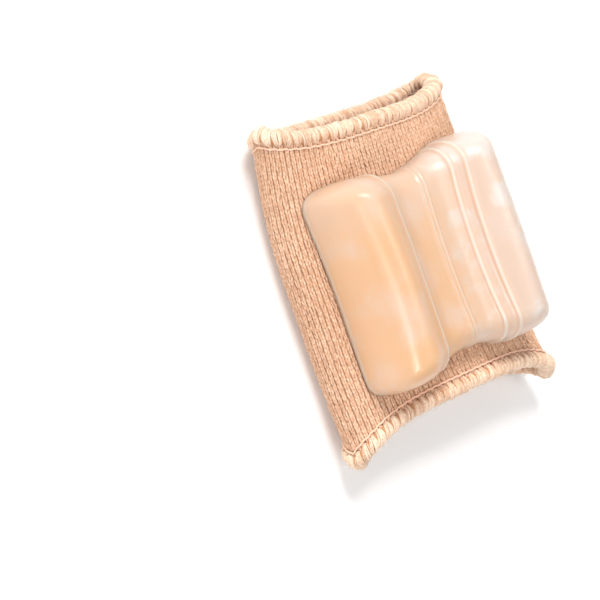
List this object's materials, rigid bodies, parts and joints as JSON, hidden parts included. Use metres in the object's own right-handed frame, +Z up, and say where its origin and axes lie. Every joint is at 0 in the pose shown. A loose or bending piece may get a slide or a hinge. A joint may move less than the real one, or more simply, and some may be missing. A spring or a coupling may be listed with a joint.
{
  "type": "toe separator",
  "caption": "Toe separator: a ribbed knit sleeve for the big toe, with overlocked mouths and a grooved translucent gel pad.",
  "frame": {"origin": "on the surface that the sleeve lies on, under the middle of its box", "axes": "+Y along the sleeve, out of the mouth at the toe's tip; +X across the sleeve; +Z up, out of the gel pad's face"},
  "size_m": [0.0391, 0.048, 0.0179],
  "materials": {
    "knit": "beige ribbed knit",
    "hem_thread": "cream overlock thread",
    "gel": "translucent milky gel, satin"
  },
  "bodies": {
    "root": {"sleeve": "knit", "toe_end_hem": "hem_thread", "foot_end_hem": "hem_thread", "gel_pad": "gel"}
  },
  "joints": []
}
